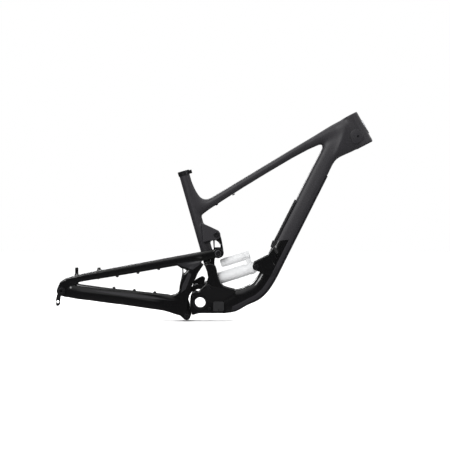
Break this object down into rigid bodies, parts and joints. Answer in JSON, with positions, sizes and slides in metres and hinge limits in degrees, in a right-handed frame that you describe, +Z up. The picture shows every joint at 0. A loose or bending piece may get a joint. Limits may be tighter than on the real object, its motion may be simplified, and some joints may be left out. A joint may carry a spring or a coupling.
{
  "type": "full suspension bicycle frame",
  "caption": "Full-suspension mountain-bike frame with a four-bar rear end, air shock, bottom bracket shell, head tube and dropouts.",
  "frame": {"origin": "centre of the bottom bracket bore", "axes": "+X forward, +Y to the rider's left, +Z up, with the frame in its riding position and the suspension at full extension"},
  "size_m": [1.0335, 0.1818, 0.6826],
  "materials": {
    "matte_charcoal_carbon": "matte",
    "gloss_black_carbon": "gloss",
    "pale_shock": "satin",
    "bare_alloy": "brushed",
    "black_alloy": "satin",
    "black_plastic": "satin",
    "rubber_guard": "matte",
    "knob_red": "anodised"
  },
  "bodies": {
    "front_triangle": {"head_tube": "matte_charcoal_carbon", "top_tube": "matte_charcoal_carbon", "down_tube": "gloss_black_carbon", "seat_tube": "matte_charcoal_carbon", "link_bracket": "matte_charcoal_carbon", "seat_tower": "gloss_black_carbon", "tower_bridge": "gloss_black_carbon", "bottom_bracket_block": "gloss_black_carbon", "bottom_bracket_sleeve": "black_alloy", "shock_mount": "gloss_black_carbon", "seat_clamp": "black_alloy", "seat_clamp_bolt": "black_alloy", "cable_port_left": "matte_charcoal_carbon", "cable_port_right": "matte_charcoal_carbon", "cable_port_bolts": "black_alloy", "head_badge": "bare_alloy", "storage_door": "black_plastic", "bottle_bolts": "black_alloy", "top_tube_bolts": "black_alloy", "down_tube_guard": "rubber_guard", "chain_guide_cover": "black_plastic", "chain_guide_bolts": "black_alloy", "upper_pivot_axle": "black_alloy", "lower_pivot_bolts": "black_alloy", "shock_front_bolts": "black_alloy"},
    "storage_latch": {"storage_latch": "black_plastic"},
    "upper_link": {"upper_link_left": "gloss_black_carbon", "upper_link_right": "gloss_black_carbon", "upper_link_crossbar": "gloss_black_carbon", "stay_pivot_axle": "black_alloy", "shock_rear_bolt": "bare_alloy", "upper_link_bearings": "bare_alloy"},
    "lower_link": {"lower_link": "gloss_black_carbon", "lower_link_bearings": "bare_alloy"},
    "rear_triangle": {"chainstay_left": "gloss_black_carbon", "chainstay_right": "gloss_black_carbon", "seatstay_left": "gloss_black_carbon", "seatstay_right": "gloss_black_carbon", "upright_left": "gloss_black_carbon", "upright_right": "gloss_black_carbon", "upright_brace": "gloss_black_carbon", "stay_lugs_left": "gloss_black_carbon", "stay_lugs_right": "gloss_black_carbon", "stay_bridges": "gloss_black_carbon", "dropout_left": "gloss_black_carbon", "dropout_right": "gloss_black_carbon", "brake_posts": "gloss_black_carbon", "derailleur_hanger": "black_alloy", "hanger_bolt": "black_alloy", "thru_axle": "black_alloy", "lower_stay_axle": "black_alloy", "stay_bearings": "bare_alloy", "hose_guides": "black_plastic"},
    "shock_body": {"shock_air_can": "pale_shock", "shock_head": "pale_shock", "shock_reservoir": "pale_shock"},
    "compression_lever": {"compression_lever": "black_plastic"},
    "shock_shaft": {"shock_shaft": "pale_shock", "shock_eyelet": "pale_shock"},
    "rebound_knob": {"rebound_knob": "knob_red"}
  },
  "joints": [
    {"name": "suspension_travel", "type": "hinge", "parent": "front_triangle", "child": "upper_link", "pos_m": [0.053, 0, 0.221], "axis": [0, -1, 0], "range_deg": [0, 19.5]},
    {"name": "stay_pivot", "type": "hinge", "parent": "upper_link", "child": "rear_triangle", "pos_m": [0.0585, 0, 0.161], "axis": [0, -1, 0], "range_deg": [-37.3, 0.2]},
    {"name": "lower_link_pivot", "type": "hinge", "parent": "front_triangle", "child": "lower_link", "pos_m": [0.028, 0, 0.0515], "axis": [0, -1, 0], "range_deg": [-28.23, 0.2]},
    {"name": "shock_front_pivot", "type": "hinge", "parent": "front_triangle", "child": "shock_body", "pos_m": [0.184, 0, 0.117], "axis": [0, -1, 0], "range_deg": [-0.2, 11.14]},
    {"name": "shock_stroke", "type": "slide", "parent": "shock_body", "child": "shock_shaft", "axis": [0.9534, 0, 0.3016], "range_m": [-0.0002, 0.04976]},
    {"name": "storage_latch_lift", "type": "hinge", "parent": "front_triangle", "child": "storage_latch", "pos_m": [0.23293, 0, 0.18345], "axis": [0, -1, 0], "range_deg": [0, 75]},
    {"name": "compression_lever_turn", "type": "hinge", "parent": "shock_body", "child": "compression_lever", "pos_m": [0.15517, -0.0143, 0.15508], "axis": [0, 1, 0], "range_deg": [0, 90]},
    {"name": "rebound_knob_turn", "type": "hinge", "parent": "shock_shaft", "child": "rebound_knob", "pos_m": [0.00707, 0, 0.06103], "axis": [-0.9534, 0, -0.3016], "range_deg": [0, 270]}
  ],
  "couplings": [
    {"joint": "stay_pivot", "follows": "suspension_travel", "ratio": -1.8975},
    {"joint": "lower_link_pivot", "follows": "suspension_travel", "ratio": -1.4325},
    {"joint": "shock_front_pivot", "follows": "suspension_travel", "ratio": 0.5558},
    {"joint": "shock_stroke", "follows": "suspension_travel", "m_per_rad": 0.14533}
  ]
}
